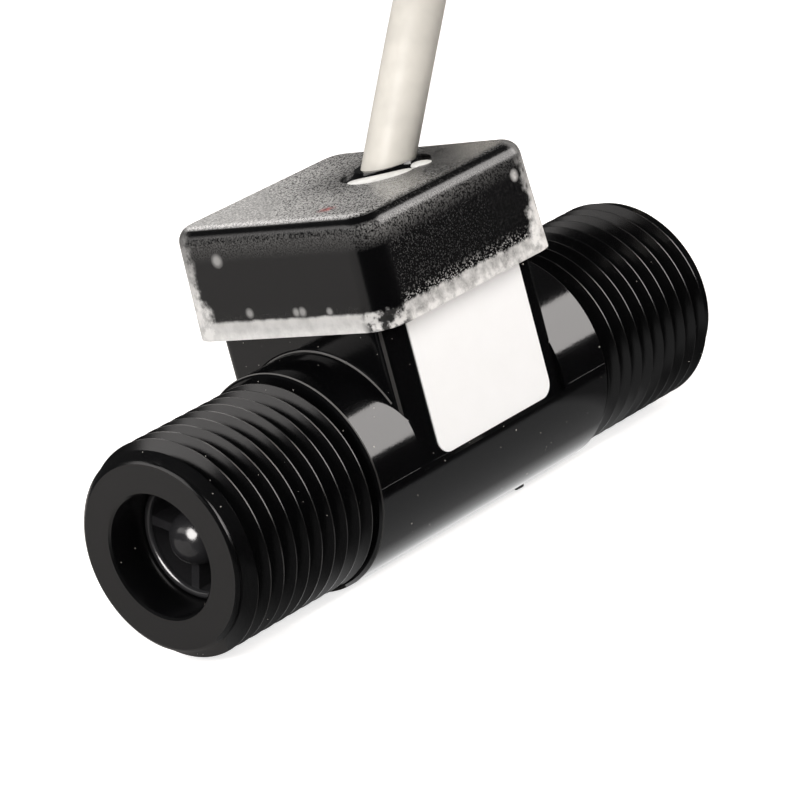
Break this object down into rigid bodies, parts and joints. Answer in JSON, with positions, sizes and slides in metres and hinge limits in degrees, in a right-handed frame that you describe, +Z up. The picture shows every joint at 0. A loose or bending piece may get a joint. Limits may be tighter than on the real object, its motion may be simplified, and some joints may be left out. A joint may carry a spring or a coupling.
{
  "type": "turbine flow sensor",
  "caption": "In-line turbine flow sensor: black moulded body with male pipe threads, helical rotor between flow straighteners, potted frosted cap and a pale lead cable.",
  "frame": {"origin": "on the surface the sensor rests on, under the middle of its length and width", "axes": "+X along the flow from inlet to outlet, +Z up through the cap, the label faces -Y"},
  "size_m": [0.1061, 0.0651, 0.0662],
  "materials": {
    "body_nylon": "satin moulded black nylon",
    "label_film": "plain white film",
    "spider_plastic": "glossy black plastic",
    "bush_ptfe": "waxy off-white",
    "rotor_plastic": "natural acetal",
    "shaft_steel": "ground stainless",
    "ferrite": "dark sintered",
    "cap_plastic": "frosted translucent plastic",
    "potting_resin": "cured black resin",
    "seal_resin": "wet-looking black resin",
    "chip_black": "moulded chip case",
    "tinned_lead": "tinned",
    "board_green": "solder mask",
    "capacitor_tan": "ceramic",
    "wire_red": "vinyl insulation",
    "wire_black": "vinyl insulation",
    "wire_white": "vinyl insulation",
    "cable_jacket": "pale grey-cream vinyl",
    "tie_nylon": "natural nylon"
  },
  "bodies": {
    "housing": {"body": "body_nylon", "label": "label_film", "inlet_spider": "spider_plastic", "outlet_spider": "spider_plastic", "inlet_bush": "bush_ptfe", "outlet_bush": "bush_ptfe", "cap": "cap_plastic", "potting": "potting_resin", "cable_seal": "seal_resin", "hall_sensor": "chip_black", "hall_leads": "tinned_lead", "circuit_board": "board_green", "bypass_capacitor": "capacitor_tan", "pull_up_resistor": "chip_black", "inner_wire_red": "wire_red", "inner_wire_black": "wire_black", "inner_wire_white": "wire_white", "lead_cable": "cable_jacket", "cable_hank": "cable_jacket", "cable_tie": "tie_nylon", "lead_wire_red": "wire_red", "lead_wire_black": "wire_black", "lead_wire_white": "wire_white"},
    "turbine": {"turbine_rotor": "rotor_plastic", "rotor_shaft": "shaft_steel", "rotor_magnets": "ferrite"}
  },
  "joints": [
    {"name": "turbine_spin", "type": "hinge", "parent": "housing", "child": "turbine", "pos_m": [0, 0, 0.01095], "axis": [1, 0, 0], "continuous": true}
  ]
}
